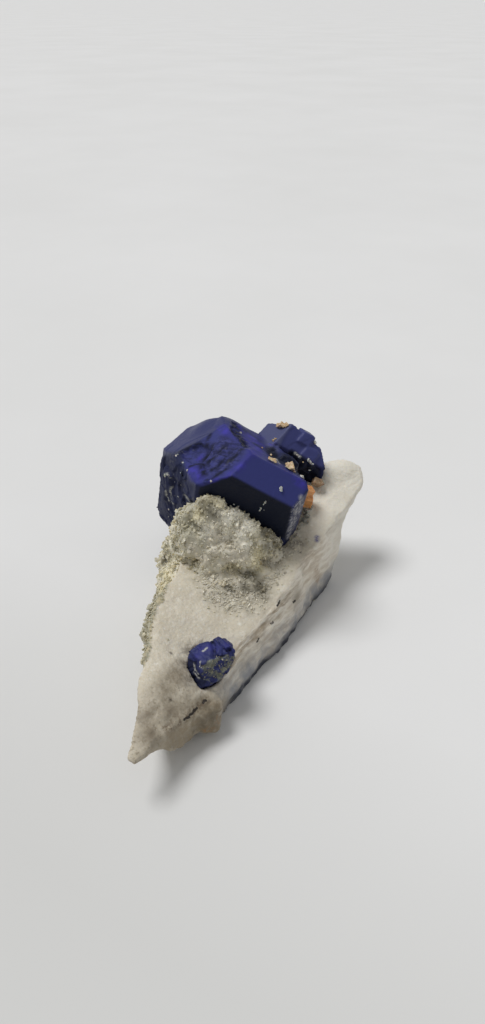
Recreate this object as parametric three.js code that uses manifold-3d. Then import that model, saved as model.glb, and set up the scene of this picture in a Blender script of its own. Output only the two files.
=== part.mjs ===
// A hand specimen: blue lazurite crystals on a long wedge of white marble.
//
// Millimetres, +Z up. The wedge lies along Y with its thin tip at the front (-Y), and its steep broken
// side faces +X. While it is built, zero is the front end of the line where that steep side meets the
// ground. At the end the whole specimen is shifted, so that its origin is the bottom centre of its box.

import * as THREE from 'three';
import { ConvexGeometry } from 'three/addons/geometries/ConvexGeometry.js';
import { ImprovedNoise } from 'three/addons/math/ImprovedNoise.js';
import { mergeVertices } from 'three/addons/utils/BufferGeometryUtils.js';
import Module from 'manifold-3d';

const wasm = await Module();
wasm.setup();

// Driving dimensions

// Space left between two minerals that touch.
const GAP = 0.35;

// Cells of the marble's skin across, along and up.
const MARBLE_CELLS = { across: 11, along: 38, up: 7 };

// The ground touches the marble between these places along Y.
const BASE = { front: -3, back: 58 };

// The wedge's outlines along its length: [place along Y, value]. The steep foot is how far the foot of
// the steep side stands out beyond the side itself.
const OUTLINE = {
  steepSide: [[-33.5, 0], [-20, 1], [-8, 1.2], [0, 0], [40, 0], [60, 0.3], [66, 1],
    [76, 0.6], [81, -2]],
  steepFoot: [[-33.5, 0], [-12, 0], [-4, 0.6], [0, 1.3], [5, 2], [11, 2.2], [19, 1.7], [30, 2.3],
    [41, 1.9], [50, 0.1], [59, -0.2], [81, 0]],
  steepRidge: [[-33.5, 12.8], [-20, 12], [-7, 9.4], [2, 9.6], [12, 12.5], [22, 12.5], [30, 16], [38, 19],
    [48, 20], [56, 22], [60, 23.5], [68, 25], [76, 28], [81, 29]],
  leftEdge: [[-33.5, -2.6], [-30, -4.7], [-24, -8], [-20, -9.8], [-12, -14.5], [-5, -17.5], [2, -21.5],
    [8, -24], [15, -26.5], [20, -28.3], [30, -33], [38, -36], [46, -37], [56, -34], [64, -29],
    [70, -22], [76, -15], [81, -11]],
  leftRidge: [[-33.5, 13.2], [-28, 14.5], [-20, 16], [-5, 17.5], [5, 20], [20, 20], [40, 20], [56, 24],
    [66, 26], [74, 28], [81, 29]],
  leftFoot: [[-33.5, -2.2], [-20, -5], [-10, -7], [0, -11], [15, -18], [30, -24], [45, -27], [56, -22],
    [66, -14], [74, -10], [81, -8]],
  underside: [[-33.5, 11.2], [-29, 9.5], [-24, 7.6], [-19, 3.8], [-15, 2.8], [-10, 1], [-3, 0], [58, 0],
    [60, 1.5], [61, 6], [63, 10], [64.5, 14], [66, 18.5], [70, 21.7], [75, 25], [81, 27.5]],
  topSwell: [[-33.5, 0.3], [-10, 1.2], [50, 1.2], [68, 2.2], [76, 4], [81, 1.5]],
};

// How far the two sides swell beyond a straight line from foot to edge, where the wedge is this thick.
const FULL_THICKNESS = 14;
const LEFT_SWELL = 1.5;
const STEEP_SWELL = 0.4;

// The lumps of the broken marble: size of a lump and how far it stands out.
const MARBLE_LUMPS = [{ size: 15, height: 1.1 }, { size: 6, height: 0.5 }];

// The brown nub low on the steep side: two lumps, one of them mostly inside the wedge.
const NUB_LUMPS = [
  { at: [0.9, -8.2, 5.6], radii: [3.7, 5, 4] },
  { at: [-2.6, -10, 6], radii: [5.2, 7, 4.4] },
];

// Shape of the lazurite crystals: a rhombic dodecahedron. On a crystal's own axes x is right, y is back
// and z is up, and each face is named by the way that it looks.
const FACES = {
  frontTop: [0, -1, 1],
  backTop: [0, 1, 1],
  leftTop: [-1, 0, 1],
  rightTop: [1, 0, 1],
  rightFront: [1, -1, 0],
  leftFront: [-1, -1, 0],
  rightBack: [1, 1, 0],
  leftBack: [-1, 1, 0],
  frontBottom: [0, -1, -1],
  backBottom: [0, 1, -1],
  leftBottom: [-1, 0, -1],
  rightBottom: [1, 0, -1],
};

// The two large crystals grew parallel to each other. Turns are in degrees about X, Y and Z.
const LARGE_TURN = [-25.3, -28.6, 4.5];

// The crystals. reach is the way from the centre to each face, and cut adds the faces that break the
// regular shape.
const MAIN_CRYSTAL = {
  centre: [-25, 44, 32],
  turn: LARGE_TURN,
  reach: {
    frontTop: 15.4,
    backTop: 20.8,
    leftTop: 26.2,
    rightTop: 15.2,
    rightFront: 19.6,
    leftFront: 14.5,
    rightBack: 13.8,
    leftBack: 35,
    frontBottom: 11.2,
    backBottom: 14,
    leftBottom: 25.2,
    rightBottom: 19.7,
  },
  cut: [
    { look: [-0.14, -0.64, 1], reach: 17.1 },
    { look: [-0.7, -0.7, -0.3], reach: 13.8 },
    { look: [0.12, 0.25, 1], reach: 22 },
  ],
};

const BACK_CRYSTAL = {
  centre: [-22, 68, 33],
  turn: LARGE_TURN,
  reach: {
    frontTop: 10.3,
    backTop: 9,
    leftTop: 9.2,
    rightTop: 10.8,
    rightFront: 9,
    leftFront: 10,
    rightBack: 7.7,
    leftBack: 8,
    frontBottom: 5.2,
    backBottom: 8,
    leftBottom: 10,
    rightBottom: 13,
  },
  cut: [
    { look: [0.58, 1, 1], reach: 3.8 },
  ],
};

const SMALL_CRYSTAL = {
  centre: [-2.9, 0, 13.9],
  turn: [-2, 43, 26.5],
  reach: {
    frontTop: 5.15,
    backTop: 5,
    leftTop: 5.1,
    rightTop: 5,
    rightFront: 5.1,
    leftFront: 5.3,
    rightBack: 5,
    leftBack: 4.4,
    frontBottom: 6.3,
    backBottom: 5,
    leftBottom: 5,
    rightBottom: 5,
  },
  cut: [{ look: [0.93, -0.33, 0.17], reach: 4.3 }],
};

// Two blocks that grew out of its upper right corner: centre and reach.
const SMALL_CRYSTAL_BLOCKS = [
  [[-1.5, 2.6, 16], 2.4],
  [[-0.3, 2.8, 15.4], 2],
];

// Growth blocks: small crystals parallel to the large ones, that stand a little out of a face. Each has
// the face, a point on it, the block's reach and how far it rises.
const GROWTH_BLOCKS = [
  ['leftFront', [-46, 40.7, 31], 5, 0.9],
  ['leftFront', [-38, 35.6, 38.5], 4, 0.7],
  ['leftFront', [-33, 32.3, 33], 4.5, 0.8],
  ['leftFront', [-50, 43.4, 24], 4, 1],
  ['frontTop', [-33, 37.5, 43.6], 6.5, 0.5],
  ['frontTop', [-24, 35.5, 46], 4.5, 0.4],
  ['rightTop', [-14.5, 54, 40.6], 4, 1.6],
  ['rightTop', [-20, 58, 40.3], 3.2, 1],
  ['frontBottom', [-14.3, 65.1, 34.6], 3.5, 1.2],
  ['rightFront', [-13.5, 66.5, 37.5], 3, 0.5],
  ['rightFront', [-15.5, 68, 40.8], 3, 0.6],
];

// Small crystals of other minerals: blocks given by centre, size and turn in degrees. One piece can have
// several blocks that grew together.
const ORANGE_BLOCKS = [
  { at: [-9.6, 58.2, 27.2], size: [3.8, 3.6, 3.6], turn: [12, 18, 30] },
  { at: [-9.4, 58.8, 29.4], size: [2.6, 2.8, 3.4], turn: [-14, 24, 55] },
];
const TAN_CUBE_BLOCKS = [
  { at: [-9, 47.1, 43.9], size: [2.1, 2.1, 2.1], turn: [35, 12, 40] },
];
const TAN_FRAGMENT_BLOCKS = [
  { at: [-12.8, 43, 46.8], size: [1.6, 1.2, 1.4], turn: [20, 30, 15] },
  { at: [-11.9, 43.4, 46.5], size: [1.2, 1.3, 1.1], turn: [50, 10, 40] },
];
const TAN_CLUSTER_BLOCKS = [
  { at: [-22.8, 66.1, 44.2], size: [1.8, 1.5, 1.4], turn: [15, 40, 10] },
  { at: [-21.6, 66.5, 44.3], size: [1.4, 1.6, 1.5], turn: [45, 20, 60] },
  { at: [-23.9, 66.3, 43.8], size: [1.3, 1.2, 1.3], turn: [30, 55, 20] },
];
const BROWN_GRAIN_BLOCKS = [
  { at: [-10, 65.4, 29.2], size: [2.3, 2.1, 2.1], turn: [20, 35, 15] },
  { at: [-9.2, 66.2, 28.8], size: [1.8, 1.9, 1.9], turn: [60, 10, 50] },
];

// The granular crust: lumps given by centre and radius. The first list is the ledge down the left side,
// the second is the mound in front of the large crystal, and the third is the thin apron of grains that
// spreads from the mound over the marble.
const LEDGE_LUMPS = [
  [-12.6, -7, 11, 3.4],
  [-16.9, -1.5, 11.2, 4.3],
  [-20.6, 4, 11.8, 4.8],
  [-23.4, 9.5, 12, 5.1],
  [-26.2, 16, 12.2, 5.2],
  [-29, 22, 12.5, 5.4],
  [-31.8, 27, 11.5, 5.8],
  [-34.2, 31, 17.4, 5],
  [-36, 32.5, 10, 6],
  [-38, 37.5, 9.5, 5.8],
];
const MOUND_LUMPS = [
  [-23.5, 29.5, 34, 5.2],
  [-19.5, 31, 31, 5],
  [-27.5, 28.5, 30, 5],
  [-15, 33, 27.5, 5],
  [-11, 36.5, 24, 4.4],
  [-8.6, 39.2, 19.4, 3.6],
  [-24, 27.5, 27, 6],
  [-31, 29, 25.5, 5],
  [-33.8, 31.5, 21, 4.6],
  [-28.5, 27, 22, 5],
  [-19, 27.5, 24, 5.6],
  [-13, 31, 21.5, 5],
  [-21, 24.5, 19.5, 4.6],
];
const APRON_LUMPS = [
  [-17, 23.5, 18.4, 5.2],
  [-13, 24, 17.4, 5.6],
  [-9.6, 27.5, 16.8, 5.2],
  [-9.6, 32.6, 18, 5],
  [-10.5, 21, 16.2, 5],
  [-15.5, 19, 17.8, 4.6],
];
// Lumps from this radius up get a finer skin.
const LARGE_LUMP = 5.9;
const CRUST_LUMPS = [{ size: 5, height: 1.4 }, { size: 2.2, height: 0.5 }];
// The ledge's lumps are drawn out along its length, and those of the apron are flattened.
const LEDGE_STRETCH = [1, 1.4, 1];
const MOUND_STRETCH = [1, 1, 1];
const APRON_STRETCH = [1, 1, 0.5];

// Noise

const noise = new ImprovedNoise();

function lumpiness(point, lumps, shift) {
  let height = 0;
  for (const lump of lumps) {
    const x = point.x / lump.size + shift;
    const y = point.y / lump.size;
    const z = point.z / lump.size;
    height += lump.height * noise.noise(x, y, z) * 1.6;
  }
  return height;
}

// Solids

function weld(geometry) {
  const bare = geometry.clone();
  bare.deleteAttribute('normal');
  bare.deleteAttribute('uv');
  return mergeVertices(bare, 1e-4);
}

function solidFrom(geometry) {
  const welded = weld(geometry);
  const vertProperties = new Float32Array(welded.attributes.position.array);
  const triVerts = new Uint32Array(welded.index.array);
  return new wasm.Manifold(new wasm.Mesh({ numProp: 3, vertProperties, triVerts }));
}

function geometryFrom(solid) {
  const mesh = solid.getMesh();
  const geometry = new THREE.BufferGeometry();
  geometry.setAttribute('position', new THREE.BufferAttribute(new Float32Array(mesh.vertProperties), 3));
  geometry.setIndex(new THREE.BufferAttribute(new Uint32Array(mesh.triVerts), 1));
  geometry.computeVertexNormals();
  return geometry;
}

function join(solids) {
  return solids.reduce((whole, piece) => whole.add(piece));
}

// Cutting can leave loose crumbs, and only the largest body is kept.
function largestBody(solid) {
  const bodies = solid.decompose();
  return bodies.reduce((best, body) => (body.volume() > best.volume() ? body : best));
}

// Lazurite crystals

function turned([x, y, z]) {
  const { degToRad } = THREE.MathUtils;
  return new THREE.Quaternion().setFromEuler(new THREE.Euler(degToRad(x), degToRad(y), degToRad(z)));
}

function faceNormal(look, turn) {
  return new THREE.Vector3(...look).normalize().applyQuaternion(turned(turn));
}

function crystalPlanes(crystal, grow) {
  const centre = new THREE.Vector3(...crystal.centre);
  const regular = Object.entries(crystal.reach).map(([face, reach]) => ({ look: FACES[face], reach }));
  return [...regular, ...crystal.cut].map(({ look, reach }) => {
    const normal = faceNormal(look, crystal.turn);
    return { normal, level: normal.dot(centre) + reach + grow };
  });
}

function cornerOf(a, b, c) {
  const bc = new THREE.Vector3().crossVectors(b.normal, c.normal);
  const volume = a.normal.dot(bc);
  if (Math.abs(volume) < 1e-6) return null;
  const ca = new THREE.Vector3().crossVectors(c.normal, a.normal);
  const ab = new THREE.Vector3().crossVectors(a.normal, b.normal);
  return bc.multiplyScalar(a.level).addScaledVector(ca, b.level).addScaledVector(ab, c.level)
    .divideScalar(volume);
}

// The corners of the crystal are the meeting points of three faces that no other face cuts off.
function crystalSolid(crystal, grow = 0) {
  const planes = crystalPlanes(crystal, grow);
  const corners = [];
  const inside = (point) => planes.every((plane) => plane.normal.dot(point) <= plane.level + 1e-5);
  for (let i = 0; i < planes.length; i += 1) {
    for (let j = i + 1; j < planes.length; j += 1) {
      for (let k = j + 1; k < planes.length; k += 1) {
        const corner = cornerOf(planes[i], planes[j], planes[k]);
        if (corner && inside(corner) && !corners.some((other) => other.distanceTo(corner) < 1e-3)) {
          corners.push(corner);
        }
      }
    }
  }
  return solidFrom(new ConvexGeometry(corners));
}

// A regular crystal sunk below a face of the large ones, so that only its top stands out.
function growthBlock([face, at, reach, rise]) {
  const normal = faceNormal(FACES[face], LARGE_TURN);
  const centre = new THREE.Vector3(...at).addScaledVector(normal, rise - reach).toArray();
  return regularCrystal(centre, LARGE_TURN, reach);
}

function regularCrystal(centre, turn, reach) {
  const reaches = Object.fromEntries(Object.keys(FACES).map((name) => [name, reach]));
  return { centre, turn, reach: reaches, cut: [] };
}

function blockSolid({ at, size, turn }) {
  const block = new THREE.BoxGeometry(...size);
  block.applyQuaternion(turned(turn));
  block.translate(...at);
  return solidFrom(block);
}

// Marble

// A smooth curve through the [place, value] pairs of an outline.
function valueAt(outline, place) {
  const last = outline.length - 1;
  const slopeAt = (i) => {
    const [x0, v0] = outline[Math.max(i - 1, 0)];
    const [x1, v1] = outline[Math.min(i + 1, last)];
    return (v1 - v0) / (x1 - x0);
  };
  let i = 0;
  while (i < last - 1 && place > outline[i + 1][0]) i += 1;
  const [x0, v0] = outline[i];
  const [x1, v1] = outline[i + 1];
  const span = x1 - x0;
  const t = THREE.MathUtils.clamp((place - x0) / span, 0, 1);
  const rise = v0 * (2 * t ** 3 - 3 * t ** 2 + 1) + v1 * (3 * t ** 2 - 2 * t ** 3);
  return rise + span * (slopeAt(i) * (t ** 3 - 2 * t ** 2 + t) + slopeAt(i + 1) * (t ** 3 - t ** 2));
}

// Across, along and up run from 0 to 1 over the wedge, and give a point on it.
function marblePoint(across, along, up) {
  const { lerp } = THREE.MathUtils;
  const front = OUTLINE.steepSide[0][0];
  const back = OUTLINE.steepSide[OUTLINE.steepSide.length - 1][0];
  const y = lerp(front, back, along);
  const bottom = y > BASE.front && y < BASE.back ? 0 : valueAt(OUTLINE.underside, y);
  const thickness = valueAt(OUTLINE.leftRidge, y) - bottom;
  const swell = Math.sin(Math.PI * up) * Math.min(thickness / FULL_THICKNESS, 1);
  const left = lerp(valueAt(OUTLINE.leftFoot, y), valueAt(OUTLINE.leftEdge, y), up) - LEFT_SWELL * swell;
  const foot = valueAt(OUTLINE.steepFoot, y) * (1 - up);
  const right = valueAt(OUTLINE.steepSide, y) + foot + STEEP_SWELL * swell;
  const top = lerp(valueAt(OUTLINE.leftRidge, y), valueAt(OUTLINE.steepRidge, y), across)
    + valueAt(OUTLINE.topSwell, y) * Math.sin(Math.PI * across);
  return new THREE.Vector3(lerp(left, right, across), y, lerp(bottom, top, up));
}

function marbleSkin(grow) {
  const { across, along, up } = MARBLE_CELLS;
  const skin = weld(new THREE.BoxGeometry(1, 1, 1, across, along, up));
  const place = skin.attributes.position;
  const point = new THREE.Vector3();
  for (let i = 0; i < place.count; i += 1) {
    point.fromBufferAttribute(place, i).addScalar(0.5);
    place.setXYZ(i, ...marblePoint(point.x, point.y, point.z));
  }
  return roughened(skin, MARBLE_LUMPS, 0, grow, true);
}

// Moves each point of a skin along its normal by the lumps. A flat base keeps its height.
function roughened(skin, lumps, shift, grow, keepBase) {
  skin.computeVertexNormals();
  const place = skin.attributes.position;
  const normals = skin.attributes.normal;
  const point = new THREE.Vector3();
  const normal = new THREE.Vector3();
  for (let i = 0; i < place.count; i += 1) {
    point.fromBufferAttribute(place, i);
    normal.fromBufferAttribute(normals, i);
    const onBase = keepBase && point.z < 1e-3;
    point.addScaledVector(normal, lumpiness(point, lumps, shift) + grow);
    if (onBase) point.z = 0;
    else if (keepBase) point.z = Math.max(point.z, 0);
    place.setXYZ(i, ...point);
  }
  skin.deleteAttribute('normal');
  return skin;
}

function lumpSolid([x, y, z, radius], index, stretch) {
  const detail = radius < LARGE_LUMP ? 2 : 3;
  const ball = weld(new THREE.IcosahedronGeometry(radius, detail));
  ball.scale(...stretch);
  ball.translate(x, y, z);
  return solidFrom(roughened(ball, CRUST_LUMPS, index, 0, false));
}

function marbleSolid(grow = 0) {
  const nub = NUB_LUMPS.map(({ at, radii }, index) => {
    const ball = weld(new THREE.IcosahedronGeometry(1, 3));
    ball.scale(...radii);
    ball.translate(...at);
    return solidFrom(roughened(ball, CRUST_LUMPS, index, grow, false));
  });
  return join([solidFrom(marbleSkin(grow)), ...nub]);
}

function crustSolid() {
  const ledge = LEDGE_LUMPS.map((lump, index) => lumpSolid(lump, index, LEDGE_STRETCH));
  const mound = MOUND_LUMPS.map((lump, index) => lumpSolid(lump, index, MOUND_STRETCH));
  const apron = APRON_LUMPS.map((lump, index) => lumpSolid(lump, index, APRON_STRETCH));
  return join([...ledge, ...mound, ...apron]);
}

// Assembly

function mesh(name, solid, color, roughness, metalness = 0) {
  const material = new THREE.MeshStandardMaterial({ color, roughness, metalness });
  const piece = new THREE.Mesh(geometryFrom(solid), material);
  piece.name = name;
  return piece;
}

function groupSolid(grow = 0) {
  const crystals = [MAIN_CRYSTAL, BACK_CRYSTAL, ...GROWTH_BLOCKS.map(growthBlock)];
  return join(crystals.map((crystal) => crystalSolid(crystal, grow)));
}

function smallCrystalSolid(grow = 0) {
  const blocks = SMALL_CRYSTAL_BLOCKS.map(([centre, reach]) =>
    regularCrystal(centre, SMALL_CRYSTAL.turn, reach));
  return join([SMALL_CRYSTAL, ...blocks].map((crystal) => crystalSolid(crystal, grow)));
}

// The small minerals stand on what is there already, with the gap below them.
function smallMineral(blocks, neighbours) {
  const whole = join(blocks.map(blockSolid));
  return largestBody(neighbours.reduce((rest, neighbour) => rest.subtract(neighbour), whole));
}

const groupSocket = groupSolid(GAP);
const smallSocket = smallCrystalSolid(GAP);
const marble = largestBody(marbleSolid().subtract(groupSocket).subtract(smallSocket));
const marbleSocket = marbleSolid(GAP);
const crust = largestBody(crustSolid().subtract(marbleSocket).subtract(groupSocket));
const neighbours = [groupSocket, marbleSocket];

const CRYSTAL_BLUE = 0x23256b;
const TAN = 0xc9a06c;

const specimen = new THREE.Group();
specimen.add(mesh('marble_matrix', marble, 0xd8d2c4, 0.6));
specimen.add(mesh('granular_crust', crust, 0x9a9a86, 0.7));
specimen.add(mesh('lazurite_group', groupSolid(), CRYSTAL_BLUE, 0.3));
specimen.add(mesh('lazurite_small', smallCrystalSolid(), CRYSTAL_BLUE, 0.3));
specimen.add(mesh('orange_crystal', smallMineral(ORANGE_BLOCKS, neighbours), 0xc07a48, 0.4));
specimen.add(mesh('tan_cube', smallMineral(TAN_CUBE_BLOCKS, neighbours), TAN, 0.5));
specimen.add(mesh('tan_fragment', smallMineral(TAN_FRAGMENT_BLOCKS, neighbours), TAN, 0.5));
specimen.add(mesh('tan_cluster', smallMineral(TAN_CLUSTER_BLOCKS, neighbours), TAN, 0.5));
specimen.add(mesh('brown_grain', smallMineral(BROWN_GRAIN_BLOCKS, neighbours), 0x9c7c5c, 0.6));

const box = new THREE.Box3().setFromObject(specimen);
const middle = box.getCenter(new THREE.Vector3());
specimen.position.set(-middle.x, -middle.y, -box.min.z);

export default specimen;
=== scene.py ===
# %% [markdown]
# # Rough lazurite on white marble
# The specimen is a long pointed wedge of sugary white marble. Deep blue lazurite crystals stand on its
# thick end, a granular crust of other minerals lies in front of them and down the left side, and one
# small crystal sits near the tip. The solid model already has every crystal face and every lump at its
# place. This lesson gives each mineral its broken or grown surface and its colour.

import math
import random

import bpy
import numpy as np
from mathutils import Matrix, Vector, noise


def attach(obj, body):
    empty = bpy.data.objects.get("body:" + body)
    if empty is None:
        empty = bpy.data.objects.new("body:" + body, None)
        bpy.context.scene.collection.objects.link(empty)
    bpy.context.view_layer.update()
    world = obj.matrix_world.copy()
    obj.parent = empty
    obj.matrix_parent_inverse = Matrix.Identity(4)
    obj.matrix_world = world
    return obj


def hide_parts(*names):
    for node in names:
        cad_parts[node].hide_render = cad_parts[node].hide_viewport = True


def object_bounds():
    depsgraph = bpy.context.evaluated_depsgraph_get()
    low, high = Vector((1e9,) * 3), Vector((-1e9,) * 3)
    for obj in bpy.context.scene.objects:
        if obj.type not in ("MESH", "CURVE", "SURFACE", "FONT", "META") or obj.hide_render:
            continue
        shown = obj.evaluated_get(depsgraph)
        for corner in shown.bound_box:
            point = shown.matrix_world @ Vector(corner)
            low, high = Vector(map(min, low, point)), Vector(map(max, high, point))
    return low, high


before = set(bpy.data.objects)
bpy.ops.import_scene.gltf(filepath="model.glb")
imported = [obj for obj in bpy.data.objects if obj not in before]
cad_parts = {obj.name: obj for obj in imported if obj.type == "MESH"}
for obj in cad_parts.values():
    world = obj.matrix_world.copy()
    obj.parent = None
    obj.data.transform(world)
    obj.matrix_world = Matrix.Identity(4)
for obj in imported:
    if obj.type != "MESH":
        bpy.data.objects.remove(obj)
cad_low, cad_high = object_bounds()
MM = 0.001
print("solid model, mm:", [round(side / MM, 1) for side in cad_high - cad_low])

# %% [markdown]
# ## The camera
# The photo looks down at the specimen from the front right, from close by. A camera is described here
# the way a photographer would: how far it stands from the front right corner of the specimen's box,
# how far it is turned and how far it looks down.

# %% Camera
IMAGE_WIDTH, IMAGE_HEIGHT = 485, 1024
FOCAL_PIXELS = 769
SENSOR_WIDTH = 36
CAMERA_TURN = math.radians(33)
CAMERA_PITCH = math.radians(34)
CAMERA_FROM_CORNER = Vector((72.8, -76.6, 150)) * MM

bpy.ops.object.camera_add(
    location=Vector((cad_high.x, cad_low.y, 0)) + CAMERA_FROM_CORNER,
    rotation=(math.pi / 2 - CAMERA_PITCH, 0, CAMERA_TURN),
)
camera = bpy.context.object
camera.data.sensor_width = SENSOR_WIDTH
camera.data.lens = FOCAL_PIXELS * SENSOR_WIDTH / IMAGE_HEIGHT
camera.data.clip_start = 10 * MM
bpy.context.scene.camera = camera
bpy.context.view_layer.update()
print("lens, mm:", round(camera.data.lens, 2))

# %% [markdown]
# ## The studio
# The specimen is lit as for a catalogue: a pale floor, an even glow from all sides, and a broad soft
# lamp overhead that stands a little to the left. A sun lamp with a wide disc gives the soft shadow and
# lights the whole floor evenly, and a pale sky gives the glow. The floor is only a stage, so it isn't
# part of the object.

# %% Floor, lamp and sky
FLOOR_SIZE = 80
LAMP_FROM = Vector((-0.45, -0.12, 1))
LAMP_DISC = math.radians(25)
LAMP_STRENGTH = 1.92
SKY_STRENGTH = 0.375
SKY_COLOUR = (1.0, 1.0, 0.99)

bpy.ops.mesh.primitive_plane_add(size=FLOOR_SIZE)
floor = bpy.context.object
floor.name = "floor"

bpy.ops.object.light_add(type="SUN", rotation=LAMP_FROM.to_track_quat("Z", "Y").to_euler())
lamp = bpy.context.object
lamp.name = "overhead"
lamp.data.energy = LAMP_STRENGTH
lamp.data.angle = LAMP_DISC

sky = bpy.data.worlds.new("sky")
sky.use_nodes = True
sky.node_tree.nodes["Background"].inputs["Color"].default_value = (*SKY_COLOUR, 1)
sky.node_tree.nodes["Background"].inputs["Strength"].default_value = SKY_STRENGTH
bpy.context.scene.world = sky
bpy.context.scene.view_settings.view_transform = "Standard"
print("lamp and sky are lit")

# %% [markdown]
# ## Reading a place from the photo
# Stains, cracks and stray grains are easiest to place in the photo. A sight line runs from the
# camera through such a spot until it meets the surface, so the mark sits on the stone from every side.

# %% Sight lines


def sight_line(spot):
    column, row = spot
    right = (column - IMAGE_WIDTH / 2) / FOCAL_PIXELS
    up = (IMAGE_HEIGHT / 2 - row) / FOCAL_PIXELS
    return (camera.matrix_world.to_3x3() @ Vector((right, up, -1))).normalized()


def seen_at(spot, *pieces):
    """The point and the outward direction of the nearest piece at a spot of the photo."""
    hits = []
    for piece in pieces:
        hit, point, outward, _ = piece.ray_cast(camera.location, sight_line(spot))
        if hit:
            hits.append(((point - camera.location).length, point, outward))
    if not hits:
        raise ValueError(f"none of these pieces is seen at {spot}")
    return min(hits, key=lambda found: found[0])[1:]


print("the photo's middle looks along", [round(part, 2) for part in sight_line((242.5, 512))])


# %% [markdown]
# ## Working copies
# A solid from CAD has few, large triangles, which can't carry fine relief. So each mineral starts as a
# copy of its solid: the loose triangles are merged, and a voxel remesh gives it an even skin of small
# faces, like a block of clay with the same outline. The finer the voxel, the sharper its edges stay.

# %% Copy, remesh and shape


def pick(piece):
    bpy.ops.object.select_all(action="DESELECT")
    piece.select_set(True)
    bpy.context.view_layer.objects.active = piece


def apply_modifier(piece, kind, **settings):
    pick(piece)
    modifier = piece.modifiers.new(kind.lower(), kind)
    for name, value in settings.items():
        setattr(modifier, name, value)
    bpy.ops.object.modifier_apply(modifier=modifier.name)


def working_copy(node, name, voxel):
    """A copy of a solid with an even skin of faces of the voxel's size."""
    piece = bpy.data.objects.new(name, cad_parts[node].data.copy())
    bpy.context.scene.collection.objects.link(piece)
    piece.data.materials.clear()
    pick(piece)
    bpy.ops.object.mode_set(mode="EDIT")
    bpy.ops.mesh.select_all(action="SELECT")
    bpy.ops.mesh.remove_doubles(threshold=0.001 * MM)
    bpy.ops.object.mode_set(mode="OBJECT")
    apply_modifier(piece, "REMESH", mode="VOXEL", voxel_size=voxel, adaptivity=0)
    print(name, "has", len(piece.data.polygons), "faces")
    return piece


def points_of(piece):
    points = np.empty(len(piece.data.vertices) * 3)
    piece.data.vertices.foreach_get("co", points)
    return points.reshape(-1, 3)


def outward_of(piece):
    directions = np.empty(len(piece.data.vertices) * 3)
    piece.data.vertices.foreach_get("normal", directions)
    return directions.reshape(-1, 3)


def move_points(piece, points):
    piece.data.vertices.foreach_set("co", points.ravel())
    piece.data.update()


def cloud_texture(name, size):
    texture = bpy.data.textures.new(name, "CLOUDS")
    texture.noise_scale = size
    return texture


def cell_texture(name, size):
    texture = bpy.data.textures.new(name, "VORONOI")
    texture.noise_scale = size
    return texture


def push_out(piece, texture, height, group=""):
    """Moves the skin out and in by a texture, all over or only where a vertex group says."""
    apply_modifier(
        piece,
        "DISPLACE",
        texture=texture,
        texture_coords="LOCAL",
        strength=height,
        mid_level=0.5,
        vertex_group=group,
    )


# %% [markdown]
# ## Painted zones
# A zone is a number from 0 to 1 at each point of the skin: how stained, how etched or how far down the
# side it is. The same zone can steer the relief, as a vertex group, and the colour, as an attribute.
# Small zones are spots or lines, and larger ones are outlines traced over the photo.

# %% Zones round spots and lines


def smooth_step(low, high, value):
    share = np.clip((value - low) / (high - low), 0, 1)
    return share * share * (3 - 2 * share)


def near_spots(piece, spots, radius, seen_on=()):
    """1 at the places seen at these spots of the photo, and 0 from the radius on."""
    points = points_of(piece)
    zone = np.zeros(len(points))
    for spot in spots:
        centre = np.array(seen_at(spot, *(seen_on or [piece]))[0])
        distance = np.linalg.norm(points - centre, axis=1)
        zone = np.maximum(zone, 1 - smooth_step(0, radius, distance))
    return zone


def distance_to_line(points, corners):
    nearest = np.full(len(points), np.inf)
    for start, end in zip(corners, corners[1:]):
        along = end - start
        share = np.clip((points - start) @ along / (along @ along), 0, 1)
        distance = np.linalg.norm(points - start - share[:, None] * along, axis=1)
        nearest = np.minimum(nearest, distance)
    return nearest


def near_line(piece, spots, radius):
    """1 on the line through these spots of the photo, and 0 from the radius on."""
    corners = [np.array(seen_at(spot, piece)[0]) for spot in spots]
    return 1 - smooth_step(0, radius, distance_to_line(points_of(piece), corners))


def near_lines(piece, lines, radius):
    return np.maximum.reduce([near_line(piece, line, radius) for line in lines])


# %% Zones inside an outline


def photo_places(points):
    """The column and row of the photo at which each point is seen."""
    local = (points - np.array(camera.location)) @ np.array(camera.matrix_world.to_3x3())
    scale = FOCAL_PIXELS / -local[:, 2]
    columns = IMAGE_WIDTH / 2 + scale * local[:, 0]
    rows = IMAGE_HEIGHT / 2 - scale * local[:, 1]
    return np.stack([columns, rows], axis=1)


def towards_camera(piece):
    """1 where the surface faces the camera, and 0 where it is turned away."""
    sight = np.array(camera.location) - points_of(piece)
    sight /= np.linalg.norm(sight, axis=1)[:, None]
    return smooth_step(0, 0.2, (sight * outward_of(piece)).sum(axis=1))


def within(piece, outline, softness, seen_only=True):
    """1 inside an outline on the photo, with an edge that fades over this many pixels."""
    places = photo_places(points_of(piece))
    corners = np.array(outline + outline[:1], dtype=float)
    inside = np.zeros(len(places), dtype=bool)
    for start, end in zip(corners, corners[1:]):
        if start[1] != end[1]:
            between = (start[1] > places[:, 1]) != (end[1] > places[:, 1])
            slope = (end[0] - start[0]) / (end[1] - start[1])
            inside ^= between & (places[:, 0] < start[0] + (places[:, 1] - start[1]) * slope)
    nearest = distance_to_line(places, corners)
    signed = np.where(inside, nearest, -nearest)
    zone = smooth_step(-softness, softness, signed)
    return zone * towards_camera(piece) if seen_only else zone


# %% Keeping a zone on the skin


def paint(piece, name, zone):
    attribute = piece.data.attributes.new(name, "FLOAT", "POINT")
    attribute.data.foreach_set("value", zone.astype(np.float32))


def paint_all(piece, zones):
    for name, zone in zones.items():
        paint(piece, name, zone)


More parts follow.
